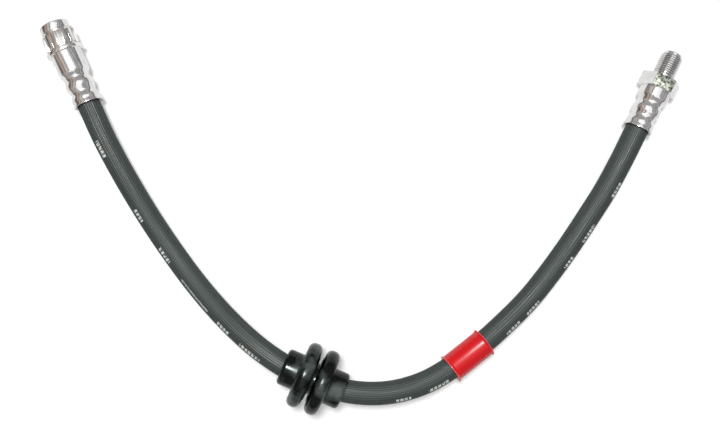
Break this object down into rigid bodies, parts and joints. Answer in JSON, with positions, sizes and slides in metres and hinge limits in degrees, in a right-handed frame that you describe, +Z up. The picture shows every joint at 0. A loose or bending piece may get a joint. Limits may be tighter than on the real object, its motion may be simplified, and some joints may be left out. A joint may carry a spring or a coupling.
{
  "type": "brake hose",
  "caption": "Flexible rubber brake hose lying in a U, with a splined female end fitting, a threaded male end fitting with a hexagon, a bracket grommet and a marker sleeve.",
  "frame": {"origin": "centre of the footprint of the two fittings, the grommet and the sleeve, on the surface the part lies on", "axes": "+Z up from the surface, +X from the female fitting towards the male fitting, +Y from the bottom of the U towards its open ends"},
  "size_m": [0.2946, 0.18, 0.0305],
  "materials": {
    "hose_rubber": "matt ribbed rubber cover",
    "plated_steel": "bright zinc-plated turned steel",
    "insert_steel": "plain drawn steel",
    "grommet_rubber": "glossy moulded rubber",
    "marker_plastic": "glossy red plastic"
  },
  "bodies": {
    "root": {"hose": "hose_rubber", "female_fitting": "plated_steel", "male_fitting": "plated_steel", "female_insert": "insert_steel", "male_insert": "insert_steel", "grommet": "grommet_rubber", "marker_sleeve": "marker_plastic"}
  },
  "joints": []
}
